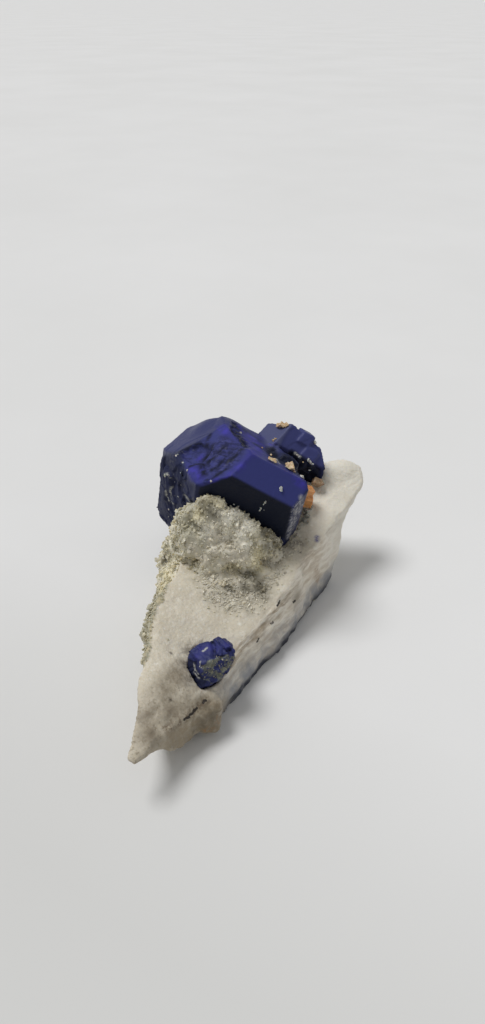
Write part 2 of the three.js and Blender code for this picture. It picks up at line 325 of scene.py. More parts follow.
def mask(piece, name, zone):
    group = piece.vertex_groups.new(name=name)
    for index in np.flatnonzero(zone > 0.02):
        group.add([int(index)], float(zone[index]), "REPLACE")
    return name


def nearest_on(neighbour, points):
    return np.array([neighbour.closest_point_on_mesh(Vector(point))[1] for point in points])


def close_to(piece, neighbour, near, far):
    """1 where the piece is this near to its neighbour's surface, and 0 from the far distance on."""
    points = points_of(piece)
    distance = np.linalg.norm(points - nearest_on(neighbour, points), axis=1)
    return 1 - smooth_step(near, far, distance)


def raise_by(piece, zone, height):
    """Moves a zone of the skin out, or in where the height is below zero."""
    move_points(piece, points_of(piece) + outward_of(piece) * zone[:, None] * height)


def rough_noise(points, size, seed=0.0):
    """Smooth noise from about -1 to 1. The size can differ along x, y and z."""
    scaled = points / np.array(size) + seed
    return np.array([noise.noise(Vector(point)) for point in scaled])


def ragged(piece, zone, size):
    """The zone with a torn edge instead of a smooth one."""
    return smooth_step(0.4, 0.6, zone + 0.6 * rough_noise(points_of(piece), size))


# %% [markdown]
# ## Finishes
# Each material is a pile of thin layers: a base colour, then one layer per zone or mineral stain, each
# mixed in by an amount. Noise over the object's own coordinates breaks the layers up, so nothing is
# evenly coloured and nothing slides when the camera moves.

# %% Helpers for materials


def new_finish(name, roughness, ior):
    finish = bpy.data.materials.new(name)
    finish.use_nodes = True
    shader = finish.node_tree.nodes["Principled BSDF"]
    shader.inputs["Roughness"].default_value = roughness
    shader.inputs["IOR"].default_value = ior
    return finish, shader


def add_node(finish, kind, inputs, **settings):
    made = finish.node_tree.nodes.new(kind)
    for name, value in settings.items():
        setattr(made, name, value)
    for name, value in inputs.items():
        if isinstance(value, bpy.types.NodeSocket):
            finish.node_tree.links.new(value, made.inputs[name])
        else:
            made.inputs[name].default_value = value
    return made


def place_of(finish):
    return add_node(finish, "ShaderNodeTexCoord", {}).outputs["Object"]


def squeezed(finish, share):
    """Places squeezed by a share along x, y and z. What is drawn on them comes out as streaks."""
    inputs = {0: place_of(finish), 1: share}
    return add_node(finish, "ShaderNodeVectorMath", inputs, operation="MULTIPLY").outputs[0]


def blotches(finish, size, low=0.35, high=0.65, detail=4.0, place=None):
    """Cloudy patches of about this size. Low and high set how sharp their edges are."""
    place = place_of(finish) if place is None else place
    clouds = add_node(
        finish,
        "ShaderNodeTexNoise",
        {"Vector": place, "Scale": 1 / size, "Detail": detail, "Roughness": 0.6},
    )
    return spread(finish, clouds.outputs["Fac"], low, high)


def cell_depth(finish, size):
    """The distance to the middle of cells of this size, for a bump of packed grains."""
    inputs = {"Vector": place_of(finish), "Scale": 1 / size}
    return add_node(finish, "ShaderNodeTexVoronoi", inputs).outputs["Distance"]


def spread(finish, value, low, high):
    """0 below the low value, 1 above the high one and a slope between them."""
    inputs = {"Value": value, "From Min": low, "From Max": high}
    return add_node(finish, "ShaderNodeMapRange", inputs).outputs["Result"]


def painted(finish, zone):
    return add_node(finish, "ShaderNodeAttribute", {}, attribute_name=zone).outputs["Fac"]


def times(finish, first, *others):
    """A value made smaller or broken up by others."""
    for other in others:
        first = combine(finish, "MULTIPLY", first, other)
    return first


def combine(finish, operation, first, second):
    made = add_node(finish, "ShaderNodeMath", {0: first, 1: second}, operation=operation)
    return made.outputs[0]


def layer(finish, below, colour, amount):
    """Lays a colour over what is below, as much as the amount says."""
    if isinstance(colour, tuple):
        colour = (*colour, 1)
    mixed = add_node(finish, "ShaderNodeMix", {0: amount, 6: below, 7: colour}, data_type="RGBA")
    return mixed.outputs[2]


def layers(finish, below, pile):
    """Lays a pile of colours, each with its amount, over one another."""
    for colour, amount in pile:
        below = layer(finish, below, colour, amount)
    return below


def base(finish, colour):
    made = add_node(finish, "ShaderNodeRGB", {})
    made.outputs[0].default_value = (*colour, 1)
    return made.outputs[0]


def bump(finish, height, strength, distance, below=None):
    inputs = {"Height": height, "Strength": strength, "Distance": distance}
    if below is not None:
        inputs["Normal"] = below
    return add_node(finish, "ShaderNodeBump", inputs).outputs["Normal"]


def connect(finish, shader, **sockets):
    for name, socket in sockets.items():
        finish.node_tree.links.new(socket, shader.inputs[name.replace("_", " ")])


def let_light_in(shader, weight, radius, scale):
    """Makes a mineral slightly clear: light scatters this far under its surface."""
    shader.inputs["Subsurface Weight"].default_value = weight
    shader.inputs["Subsurface Radius"].default_value = radius
    shader.inputs["Subsurface Scale"].default_value = scale


def dress(piece, finish, *nodes):
    """Gives a piece its material, and lets it stand for its solids."""
    piece.data.materials.clear()
    piece.data.materials.append(finish)
    pick(piece)
    bpy.ops.object.shade_smooth()
    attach(piece, "root")
    if nodes:
        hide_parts(*nodes)


# %% [markdown]
# ## The marble wedge
# White marble breaks with a sugary, gently rolling surface. Smoothing the remeshed skin takes the
# flats of the solid away. Then broad clouds give the swells, small cells the sugary grain, and long
# streaks the bedding on the steep broken side. Towards its back and its nose that side is calmer. A band
# of other minerals stands a little out of the left edge, and the nose and its nub are lumpy. The base
# stays flat, because the specimen rests on it.

# %% Marble shape
NUB_OUTLINE = [(166, 733), (184, 722), (199, 709), (206, 696), (226, 696), (224, 738), (196, 752),
               (178, 754), (166, 746)]
FRONT_OUTLINE = [(128, 700), (150, 690), (175, 672), (190, 690), (224, 700), (224, 745), (175, 760),
                 (120, 772)]
BAND_OUTLINE = [(176, 565), (168, 585), (163, 598), (157, 608), (153, 623), (150.5, 637), (150.5, 650),
                (148, 658), (144, 668), (136, 664), (136, 640), (145, 612), (152, 590), (158, 570)]

MARBLE_VOXEL = 0.5 * MM
STREAK_SIZE = (2 * MM, 13 * MM, 1.8 * MM)
CALM_BACK = (10 * MM, 30 * MM)
CALM_NOSE = (-30 * MM, -40 * MM)
BAND_RISE = 0.4 * MM
BASE_SKIN = 0.5 * MM

marble = working_copy("marble_matrix", "marble_wedge", MARBLE_VOXEL)
apply_modifier(marble, "SMOOTH", factor=0.5, iterations=16)
push_out(marble, cloud_texture("marble_swells", 9 * MM), 0.5 * MM)

points = points_of(marble)
outward = outward_of(marble)
steep = smooth_step(0.35, 0.8, outward[:, 0])
streaks = rough_noise(points, STREAK_SIZE)
chips = rough_noise(points, 3.2 * MM, seed=9)
calm = 0.7 * smooth_step(*CALM_BACK, points[:, 1]) + 0.8 * smooth_step(*CALM_NOSE, points[:, 1])
rise = steep * (0.6 * streaks * (1 - calm) + 0.6 * chips) * MM
move_points(marble, points + outward * rise[:, None])
band = ragged(marble, within(marble, BAND_OUTLINE, 1.5), 1.5 * MM)
raise_by(marble, band, BAND_RISE)

nose = np.maximum(0.5 * within(marble, FRONT_OUTLINE, 8), within(marble, NUB_OUTLINE, 5))
NOSE = mask(marble, "nose_relief", nose)
push_out(marble, cell_texture("nose_lumps", 3.2 * MM), -0.8 * MM, NOSE)
push_out(marble, cell_texture("marble_grains", 1.5 * MM), -0.22 * MM)
push_out(marble, cloud_texture("marble_sugar", 0.8 * MM), 0.2 * MM)

points = points_of(marble)
points[:, 2] = np.where(points[:, 2] < BASE_SKIN, 0.0, points[:, 2])
move_points(marble, points)

# %% [markdown]
# The marble isn't evenly white. Its thin front end lets light through and looks grey-brown, and its
# darker colour there is partly painted shade where it faces down. The steep side is pinkish above and
# blue-grey near the ground, with painted shade along its foot where it meets the floor. The nub is tan,
# with a dark middle that is partly painted shade in its hollow, and a dark broken crack follows the ridge
# behind it. Small dark specks, one blue speck and a rusty stain are scattered over it. The rock turns
# grey-green in the band at its left edge, and darker where crystals shade or stain it; below the small
# crystal that is brown-grey stain with painted shadow.

# %% Marble zones
BROWN_OUTLINE = [(166, 733), (184, 722), (199, 709), (206, 700), (224, 700), (222, 735), (196, 750),
                 (178, 752), (166, 746)]
RIDGE = [(190, 703), (240, 652), (286, 600), (306, 560), (330, 510)]
# spots of brown-grey stain, partly painted shadow cast by the small crystal
GREY_SPOTS = [(181, 676), (176, 682), (172, 692), (162, 704), (170, 712), (180, 704), (148, 722),
              (150, 735), (176, 738), (182, 742), (192, 735)]
# the nub's dark middle, partly painted shade in its hollow
NUB_SPOTS = [(210, 714), (204, 724), (212, 722), (214, 708), (208, 708)]
NUB_RIM = [(205, 731), (213, 727), (219, 719)]
CRACKS = [
    [(184, 720), (187, 717.5), (189.5, 717)],
    [(190, 714.5), (192.5, 713.5), (194, 710.5), (197, 708.5)],
    [(203, 703), (204, 701), (206, 700.5)],
    [(257, 641.5), (259, 638.5)],
    [(277, 606), (280, 601)],
    [(293, 602.5), (296, 599.5)],
    [(271, 624), (273, 622)],
]
SEAM_LINE = [(207, 699), (197, 708.5), (190, 714), (182, 721), (172, 726), (165, 729)]
BLACK_SPECKS = [(300, 552), (285, 573), (170.5, 700), (171, 653)]
BLUE_SPECK = [(317, 537), (317, 540)]
RUST_SPOTS = [(316, 574), (318, 579), (317, 570)]
SIDE_STAINS = [(297, 598), (262, 640), (275, 646), (245, 664), (222, 690)]
PATCH_SPOTS = [(215, 592), (235, 600), (262, 592), (250, 604), (200, 575), (280, 560), (208, 580)]
DARK_PATCH_SPOTS = [(262, 592), (266, 597), (258, 588), (240, 592)]
CRYSTAL_SHADOWS = [(300, 543), (291, 545), (302, 520), (188, 650), (184, 664), (190, 680)]
NOSE_ENDS = -35 * MM

points = points_of(marble)
outward = outward_of(marble)
side = smooth_step(0.3, 0.75, outward[:, 0])
height = points[:, 2] + 1.2 * MM * rough_noise(points, 7 * MM) + 0.4 * MM * rough_noise(points, 2 * MM)
low_side = side * (1 - smooth_step(4 * MM, 11 * MM, height))
# painted shade: the foot of the steep side is darkened nearly black where it meets the floor
contact_shade = side * (1 - smooth_step(0.2 * MM, 4.2 * MM, height))
# painted shade, partly: the steep and downward faces of the nose tip are painted brown
leaning = smooth_step(0.35, 0.05, outward[:, 2]) * (points[:, 1] < NOSE_ENDS)
ridge_fades = smooth_step(34 * MM, 6 * MM, points[:, 1])

marble_zones = {
    "front": within(marble, FRONT_OUTLINE, 14),
    # the nub's own brown stain, plus painted shade on the downward faces of the tip
    "brown": np.maximum(within(marble, BROWN_OUTLINE, 6), 0.7 * leaning),
    "ridge": near_line(marble, RIDGE, 3.2 * MM) * ridge_fades,
    "back": smooth_step(22 * MM, 46 * MM, points[:, 1]),
    "halo": near_line(marble, SEAM_LINE, 1.7 * MM),
    "band": band,
    "grey": near_spots(marble, GREY_SPOTS, 7 * MM),
    "side": side,
    "low_side": low_side,
    "contact_shade": contact_shade,
    "crack": near_lines(marble, CRACKS, 0.75 * MM),
    "nub": near_spots(marble, NUB_SPOTS, 6 * MM),
    "nub_rim": near_line(marble, NUB_RIM, 1.8 * MM),
    "rust": near_spots(marble, RUST_SPOTS, 2.6 * MM),
    "side_stains": near_spots(marble, SIDE_STAINS, 5 * MM) * side,
    "specks": near_spots(marble, BLACK_SPECKS, 0.7 * MM),
    "blue": near_spots(marble, BLUE_SPECK, 1.1 * MM),
    "patch": near_spots(marble, PATCH_SPOTS, 8 * MM),
    "dark_patch": near_spots(marble, DARK_PATCH_SPOTS, 3.2 * MM),
    "shadow": near_spots(marble, CRYSTAL_SHADOWS, 3.5 * MM),
}
paint_all(marble, marble_zones)
print("marble zones:", len(marble_zones))

# %% Marble finish
MARBLE_CREAM = (0.69, 0.635, 0.525)

marble_finish, shader = new_finish("sugary_marble", 0.55, 1.5)


def stain_and_shade(zone, *textures):
    """A painted zone of the marble, broken up by textures."""
    return times(marble_finish, painted(marble_finish, zone), *textures)


def cloudy(size, low=0.35, high=0.65):
    return blotches(marble_finish, size * MM, low, high)


fine = cloudy(1.2, 0.3, 0.6)
coarse = cloudy(5, 0.25, 0.6)
long_streaks = blotches(marble_finish, 1.3 * MM, 0.42, 0.62, place=squeezed(marble_finish, (1, 0.14, 1)))
nibbled = combine(marble_finish, "MULTIPLY", cloudy(0.9, 0.3, 0.7), 0.6)
torn_crack = combine(marble_finish, "SUBTRACT", painted(marble_finish, "crack"), nibbled)

marble_colours = [
    ((0.60, 0.545, 0.435), cloudy(10)),
    ((0.77, 0.735, 0.65), cloudy(1.4, 0.55, 0.72)),
    ((0.52, 0.46, 0.36), cloudy(0.8, 0.58, 0.75)),
    ((0.82, 0.77, 0.67), stain_and_shade("side")),
    ((0.60, 0.525, 0.42), stain_and_shade("side", long_streaks)),
    ((0.78, 0.745, 0.655), stain_and_shade("back", cloudy(6, 0.1, 0.5))),
    ((0.36, 0.29, 0.205), stain_and_shade("ridge", long_streaks)),
    ((0.38, 0.33, 0.26), stain_and_shade("side_stains", coarse)),
    ((0.33, 0.335, 0.355), stain_and_shade("low_side", coarse)),
    # painted shade at the foot of the side, where it meets the floor
    ((0.030, 0.034, 0.056), stain_and_shade("contact_shade", cloudy(3, 0.1, 0.45))),
    # the nose's grey-brown: its own colour where light shines through, and partly painted shade where it
    # faces down
    ((0.54, 0.485, 0.385), stain_and_shade("front", cloudy(5, 0.05, 0.4))),
    ((0.31, 0.265, 0.19), stain_and_shade("front", cloudy(0.9, 0.54, 0.66))),
    ((0.62, 0.58, 0.49), stain_and_shade("front", cloudy(0.7, 0.60, 0.72))),
    # brown-grey stain and painted shadow below and left of the small crystal
    ((0.24, 0.20, 0.145), stain_and_shade("grey", coarse)),
    ((0.33, 0.27, 0.185), stain_and_shade("brown", cloudy(2.2, 0.35, 0.58))),
    # the nub's dark middle: part stain, part painted shade in its hollow
    ((0.15, 0.12, 0.075), stain_and_shade("nub", coarse)),
    ((0.36, 0.20, 0.09), stain_and_shade("nub_rim", cloudy(1.2, 0.5, 0.65))),
    ((0.34, 0.22, 0.12), stain_and_shade("rust", fine)),
    ((0.46, 0.42, 0.33), stain_and_shade("patch", cloudy(2.5, 0.3, 0.6))),
    ((0.24, 0.215, 0.16), stain_and_shade("dark_patch", cloudy(1.3, 0.3, 0.55))),
    ((0.34, 0.33, 0.24), stain_and_shade("band")),
    ((0.50, 0.43, 0.28), stain_and_shade("band", cloudy(2, 0.45, 0.6))),
    ((0.24, 0.21, 0.17), stain_and_shade("shadow", fine)),
    ((0.15, 0.11, 0.07), stain_and_shade("halo", cloudy(1.0, 0.42, 0.6))),
    ((0.02, 0.013, 0.008), spread(marble_finish, torn_crack, 0.2, 0.4)),
    ((0.05, 0.035, 0.025), stain_and_shade("specks")),
    ((0.03, 0.03, 0.22), stain_and_shade("blue", cloudy(0.8, 0.35, 0.5))),
]
colour = layers(marble_finish, base(marble_finish, MARBLE_CREAM), marble_colours)
relief = bump(marble_finish, cell_depth(marble_finish, 0.9 * MM), 0.45, 0.25 * MM)
relief = bump(marble_finish, cloudy(0.4), 0.4, 0.12 * MM, relief)
connect(marble_finish, shader, Base_Color=colour, Normal=relief)
let_light_in(shader, 0.3, (1.0, 0.85, 0.65), 1.2 * MM)
dress(marble, marble_finish, "marble_matrix")
print("marble colours:", len(marble_colours))

# %% [markdown]
# ## The granular crust
# The crust is a packed mass of glassy grains a millimetre or two across, grey-green to honey yellow.
# Its mass is the remeshed solid with cell-shaped bumps. Its lower apron thins out and fades into the
# marble, so the points of the apron are drawn in to the marble's surface and a hair below it, and only
# the grains and the stains still show there. The grains themselves come next.

# %% Crust mass
APRON_OUTLINE = [(176, 549), (197, 557), (213, 570), (233, 578), (257, 578), (280, 560), (320, 538),
                 (320, 640), (180, 640)]
APRON_RIM = [(178, 560), (196, 570), (206, 588), (228, 602), (254, 604), (274, 592), (290, 565),
             (330, 545), (330, 640), (170, 640)]
APRON_SUNK, RIM_SUNK = 1.15, 0.35
CRUST_VOXEL = 0.38 * MM

crust = working_copy("granular_crust", "crust_mass", CRUST_VOXEL)
apply_modifier(crust, "SMOOTH", factor=0.5, iterations=10)
push_out(crust, cell_texture("fused_lumps", 4.2 * MM), -1.0 * MM)
push_out(crust, cell_texture("crust_cells", 1.9 * MM), -0.8 * MM)
push_out(crust, cloud_texture("crust_sugar", 0.9 * MM), 0.4 * MM)

points = points_of(crust)
apron = within(crust, APRON_OUTLINE, 16, seen_only=False)
rim = within(crust, APRON_RIM, 7, seen_only=False)
sunk = np.minimum(APRON_SUNK * apron + RIM_SUNK * rim, APRON_SUNK)
move_points(crust, points + (nearest_on(marble, points) - points) * sunk[:, None])
print("crust drawn in, share of its skin:", round(float((sunk > 1).mean()), 2))

# %% Crust zones
HONEY_SPOTS = [(212, 502), (206, 503), (217, 505), (199, 515), (203, 514), (254, 532), (257, 553),
               (256, 560), (259, 568), (229, 570), (231, 576), (163, 588), (166, 575), (158, 602)]
GREYER_SPOTS = [(218, 516), (228, 520), (236, 516), (242, 530), (250, 528), (244, 545), (207, 528),
                (214, 534), (222, 535)]
# dark spots: dark grains, and painted shade under the large crystals at the crust's right
DARK_SPOTS = [(207, 510), (211, 513), (214, 515), (263, 592), (258, 586), (254, 577), (248, 575),
              (268, 534), (274, 538), (281, 540), (286, 543), (262, 522), (166, 560), (276, 545),
              (268, 546), (282, 548), (203, 504), (209, 506), (230, 590), (245, 588)]
PALE_SPOTS = [(192, 548), (204, 560), (270, 556), (222, 602), (240, 606), (262, 606), (218, 538),
              (226, 544), (234, 550), (243, 556), (215, 552), (228, 558)]
LEDGE_OUTLINE = [(172, 582), (162, 604), (155, 630), (153, 650), (147, 672), (132, 668), (132, 640),
                 (143, 610), (150, 588)]
# painted shade: the left part of the crust is painted darker
LEFT_SHADE_OUTLINE = [(176, 520), (192, 500), (204, 512), (208, 545), (192, 556), (182, 545)]
FRINGE_OUTLINE = [(187, 545), (205, 560), (196, 585), (206, 604), (232, 614), (262, 612), (276, 590),
                  (288, 566), (305, 540), (292, 536), (240, 540)]


def paint_crust_zones(piece):
    """The same stains and painted shade on the crust's mass and on the grains that lie on it."""
    seen_on = [crust, marble]
    pale = near_spots(piece, PALE_SPOTS, 4 * MM, seen_on)
    fading = close_to(piece, marble, 0.5 * MM, 2.6 * MM) * within(piece, FRINGE_OUTLINE, 8)
    crust_zones = {
        "honey": near_spots(piece, HONEY_SPOTS, 3.6 * MM, seen_on),
        "greyer": near_spots(piece, GREYER_SPOTS, 5 * MM, seen_on),
        "dark": near_spots(piece, DARK_SPOTS, 3.4 * MM, seen_on),
        # the ledge's own grey-green, plus painted shade on the left of the crust
        "ledge_and_shade": np.maximum(within(piece, LEDGE_OUTLINE, 4), 0.9 * within(piece, LEFT_SHADE_OUTLINE, 7)),
        "pale": np.maximum(pale, fading),
    }
    paint_all(piece, crust_zones)


paint_crust_zones(crust)
paint(crust, "tint", np.full(len(crust.data.vertices), 0.5))

# %% [markdown]
# ## Grains
# A mineral grain is a small glassy chip with a few flat faces. Six different chips are cut: a cube is
# made uneven, and its corners and edges are sliced off with bisect. Thousands of copies would be slow
# as objects, so their points are turned, sized and placed together as one mesh, nearly half sunk into
# the surface that they grew on. Each copy carries a random tint, so that neighbours differ.

# %% Cut the chips
CHIP_KINDS = 6
CHIP_CUTS = 5


def cut_chip(name, chance):
    bpy.ops.object.select_all(action="DESELECT")
    bpy.ops.mesh.primitive_cube_add(size=1.6)
    chip = bpy.context.object
    chip.name = name
    bpy.ops.object.mode_set(mode="EDIT")
    bpy.ops.mesh.select_all(action="SELECT")
    stretch = [chance.uniform(0.7, 1.15) for _ in range(3)]
    bpy.ops.transform.resize(value=stretch)
    for _ in range(CHIP_CUTS):
        away = Vector([chance.uniform(-1, 1) for _ in range(3)]).normalized()
        bpy.ops.mesh.select_all(action="SELECT")
        bpy.ops.mesh.bisect(
            plane_co=away * chance.uniform(0.5, 0.8),
            plane_no=away,
            use_fill=True,
            clear_outer=True,
        )
    bpy.ops.mesh.select_all(action="SELECT")
    bpy.ops.mesh.quads_convert_to_tris()
    bpy.ops.mesh.normals_make_consistent(inside=False)
    bpy.ops.object.mode_set(mode="OBJECT")
    return chip


def corners_and_faces(chip):
    faces = [list(face.vertices) for face in chip.data.polygons]
    return points_of(chip), np.array(faces)


chance = random.Random(11)
chips = [cut_chip(f"chip_{kind}", chance) for kind in range(CHIP_KINDS)]
CHIPS = [corners_and_faces(chip) for chip in chips]
for chip in chips:
    bpy.data.objects.remove(chip)
print("faces of each chip:", [len(faces) for _, faces in CHIPS])

# %% Strew chips over a surface
STANDS_OUT = 0.12


def random_turn(dice):
    """A turn matrix in which every direction is as likely."""
    w, x, y, z = (lambda q: q / np.linalg.norm(q))(dice.normal(size=4))
    return np.array(
        [
            [1 - 2 * (y * y + z * z), 2 * (x * y - z * w), 2 * (x * z + y * w)],
            [2 * (x * y + z * w), 1 - 2 * (x * x + z * z), 2 * (y * z - x * w)],
            [2 * (x * z - y * w), 2 * (y * z + x * w), 1 - 2 * (x * x + y * y)],
        ]
    )


def strewn_places(piece, zone, count, dice):
    """Random places on a surface, more of them where the zone is high."""
    mesh = piece.data
    mesh.calc_loop_triangles()
    corners = np.empty(len(mesh.loop_triangles) * 3, dtype=np.int64)
    mesh.loop_triangles.foreach_get("vertices", corners)
    corners = corners.reshape(-1, 3)
    points = points_of(piece)
    a, b, c = (points[corners[:, i]] for i in range(3))
    across = np.cross(b - a, c - a)
    area = np.linalg.norm(across, axis=1)
    share = area * zone[corners].mean(axis=1)
    chosen = dice.choice(len(area), size=count, p=share / share.sum())
    return (a[chosen] + b[chosen] + c[chosen]) / 3, across[chosen] / area[chosen][:, None]


def grain_piece(name, centres, outward, sizes, dice):
    """One mesh of chips at these places, each turned its own way."""
    all_points, all_faces, tints, start = [], [], [], 0
    for centre, away, size in zip(centres, outward, sizes):
        corners, faces = CHIPS[dice.integers(CHIP_KINDS)]
        shape = corners * dice.uniform(0.55, 1.25, size=3)
        placed = shape @ random_turn(dice).T * size / 2 + centre + away * size * STANDS_OUT
        all_points.append(placed)
        all_faces.append(faces + start)
        tints.append(np.full(len(corners), dice.random()))
        start += len(corners)
    mesh = bpy.data.meshes.new(name)
    mesh.from_pydata(np.concatenate(all_points).tolist(), [], np.concatenate(all_faces).tolist())
    piece = bpy.data.objects.new(name, mesh)
    bpy.context.scene.collection.objects.link(piece)
    paint(piece, "tint", np.concatenate(tints))
    print(name, "has", len(centres), "grains and", len(mesh.polygons), "faces")
    return piece


def strew(name, piece, zone, count, sizes, dice):
    """A piece of chips strewn over a surface, each of a size between two limits."""
    centres, outward = strewn_places(piece, zone, count, dice)
    drawn = dice.uniform(*sizes, size=len(centres))
    return grain_piece(name, centres, outward, drawn, dice)


# %% Grains on the crust and round it
GRAIN_COUNT, GRAIN_SIZES = 600, (0.9 * MM, 1.7 * MM)
FINE_COUNT, FINE_SIZES = 5200, (0.35 * MM, 0.9 * MM)
FRINGE_COUNT, FRINGE_SIZES = 1500, (0.3 * MM, 0.7 * MM)

dice = np.random.default_rng(5)
everywhere = np.ones(len(crust.data.vertices))
fringe = np.maximum(within(marble, FRINGE_OUTLINE, 10) ** 2, band)
crust_grains = strew("crust_grains", crust, everywhere, GRAIN_COUNT, GRAIN_SIZES, dice)
fine_grains = strew("fine_crust_grains", crust, everywhere, FINE_COUNT, FINE_SIZES, dice)
fringe_grains = strew("fringe_grains", marble, fringe, FRINGE_COUNT, FRINGE_SIZES, dice)
for piece in (crust_grains, fine_grains, fringe_grains):
    paint_crust_zones(piece)

# %% [markdown]
# The grains are partly clear, so light scatters inside them. Their tint decides whether one is
# grey-green, honey coloured, clear or dark, and the painted stains and painted shade change whole
# patches of them.

# %% Crust finish
GRAIN_BASE = (0.76, 0.69, 0.51)
GRAIN_TINTS = [
    ((0.58, 0.54, 0.385), 0.30),
    ((0.72, 0.68, 0.56), 0.56),
    ((0.60, 0.52, 0.33), 0.76),
    ((0.30, 0.28, 0.20), 1.00),
]
TINT_EDGE = 0.06
CRUST_STAINS_AND_SHADE = [
    # the ledge's grey-green, which also lays the painted shade on the crust's left
    ((0.34, 0.32, 0.23), "ledge_and_shade", 0.85),
    ((0.74, 0.66, 0.42), "honey", 0.75),
    ((0.90, 0.86, 0.74), "greyer", 0.85),
    ((0.67, 0.62, 0.51), "pale", 0.92),
    # dark grains, and painted shade under the large crystals
    ((0.13, 0.115, 0.075), "dark", 0.85),
]
DARK_SPECKLE, WHITE_SPECKLE = (0.30, 0.27, 0.19), (0.88, 0.84, 0.72)


def grainy_finish(name, roughness):
    finish, shader = new_finish(name, roughness, 1.55)
    neighbours_differ = combine(finish, "MULTIPLY", blotches(finish, 1.6 * MM), 0.3)
    tint = combine(finish, "ADD", painted(finish, "tint"), neighbours_differ)
    not_pale = combine(finish, "SUBTRACT", 1.0, painted(finish, "pale"))
    pile = [(colour, spread(finish, tint, start, start + TINT_EDGE)) for colour, start in GRAIN_TINTS]
    pile += [(colour, times(finish, painted(finish, zone), share)) for colour, zone, share in CRUST_STAINS_AND_SHADE]
    pile.append((DARK_SPECKLE, times(finish, blotches(finish, 0.55 * MM, 0.58, 0.70), not_pale)))
    pile.append((WHITE_SPECKLE, blotches(finish, 0.42 * MM, 0.62, 0.72)))
    colour = layers(finish, base(finish, GRAIN_BASE), pile)
    relief = bump(finish, blotches(finish, 0.5 * MM), 0.4, 0.15 * MM)
    connect(finish, shader, Base_Color=colour, Normal=relief)
    let_light_in(shader, 0.35, (1.0, 0.9, 0.7), 0.7 * MM)
    return finish


mass_finish = grainy_finish("packed_grains", 0.4)
glassy_grains = grainy_finish("glassy_grains", 0.2)
dress(crust, mass_finish, "granular_crust")
for piece in (crust_grains, fine_grains, fringe_grains):
    dress(piece, glassy_grains)
    bpy.ops.object.shade_flat()

# %% [markdown]
# ## The large lazurite crystals
# Lazurite grows as rhombic dodecahedra, with flat faces that meet in straight edges. Close up, the
# faces carry shallow terraces, and the left side is etched rough. The front face is bruised: it has a
# shallow hollow with a flat bright facet below it, and a dark pitted seam at its upper right. A band
# across the right crystals is pitted too. A fine voxel keeps the edges crisp, terraces come from noise
# rounded to steps, and pits and lumps from cells.

# %% Large crystals: rough and smooth zones
ETCHED_OUTLINE = [(160, 458), (176, 455), (188, 480), (196, 487), (190, 500), (196, 504), (190, 517),
                  (178, 531), (155, 515), (152, 490)]
HOLLOW_OUTLINE = [(181, 451), (192, 446), (201, 443.5), (208, 446), (212, 449), (207, 457), (202, 462),
                  (190, 463), (181, 457)]
FACET_OUTLINE = [(188, 466), (203, 464), (205, 471), (204, 478), (194, 480), (189, 474)]
BRUISED_OUTLINE = [(206, 449), (222, 436), (236, 440), (246, 450), (238, 462), (222, 474), (207, 476),
                   (205, 463)]
SEAM_OUTLINE = [(230, 422), (236, 424), (241, 433), (247, 441), (250, 447), (243, 448), (237, 438),
                (231, 430)]
PITTED_OUTLINE = [(266, 448), (274, 447), (279, 458), (292, 450), (305, 458), (320, 469), (318, 482),
                  (309, 484), (296, 472), (284, 464), (270, 457)]
FULL_EDGE_SPOTS = [(205, 425), (232, 424.5)]
THIN_FACE_OUTLINE = [(292, 508), (303, 496), (304, 505), (298, 518), (288, 541), (286, 538)]


def terrace(piece, size, steps, height, zone):
    """Raises the skin in flat steps, where noise rises through whole numbers."""
    points = points_of(piece)
    levels = np.round(steps * rough_noise(points, size)) / steps
    rise = levels * height * zone
    move_points(piece, points + outward_of(piece) * rise[:, None])


CRYSTAL_VOXEL = 0.36 * MM

crystals = working_copy("lazurite_group", "lazurite_crystals", CRYSTAL_VOXEL)
turned_away = 1 - towards_camera(crystals)
underneath = smooth_step(0.2, 0.5, -outward_of(crystals)[:, 2])
etched = np.maximum(within(crystals, ETCHED_OUTLINE, 4), 0.8 * turned_away * underneath)
thin_face = within(crystals, THIN_FACE_OUTLINE, 1.5)
hollow = within(crystals, HOLLOW_OUTLINE, 1.2)
facet = within(crystals, FACET_OUTLINE, 1)
bruised = within(crystals, BRUISED_OUTLINE, 4)
seam = within(crystals, SEAM_OUTLINE, 2)
pitted = within(crystals, PITTED_OUTLINE, 2.5)

# %% Large crystals: relief
HOLLOW_RISE, FACET_RISE, SEAM_RISE, FULL_EDGE_RISE = -1.1 * MM, 0.35 * MM, -0.5 * MM, 0.8 * MM

ETCHED = mask(crystals, "etched_relief", np.maximum(etched, 0.6 * thin_face))
PITTED = mask(crystals, "pitted_relief", np.maximum(pitted, seam))
BRUISED = mask(crystals, "bruised_relief", np.maximum.reduce([bruised, 0.8 * hollow, 0.6 * seam]))
smooth = 1 - np.maximum.reduce([etched, hollow, bruised, pitted, seam])
terrace(crystals, 12 * MM, 2, 0.16 * MM, smooth)
terrace(crystals, (6 * MM, 3 * MM, 3 * MM), 3, 0.5 * MM, np.maximum(0.9 * bruised, 0.6 * hollow))
terrace(crystals, 9 * MM, 2, 1.2 * MM, etched)
terrace(crystals, 4 * MM, 2, 0.45 * MM, etched)
raise_by(crystals, hollow, HOLLOW_RISE)
raise_by(crystals, facet, FACET_RISE)
raise_by(crystals, seam, SEAM_RISE)
raise_by(crystals, near_spots(crystals, FULL_EDGE_SPOTS, 7 * MM), FULL_EDGE_RISE)
push_out(crystals, cloud_texture("face_relief", 3 * MM), 0.08 * MM)
push_out(crystals, cloud_texture("etch_lumps", 9 * MM), 0.6 * MM, ETCHED)
push_out(crystals, cell_texture("etch_cells", 6 * MM), 0.7 * MM, ETCHED)
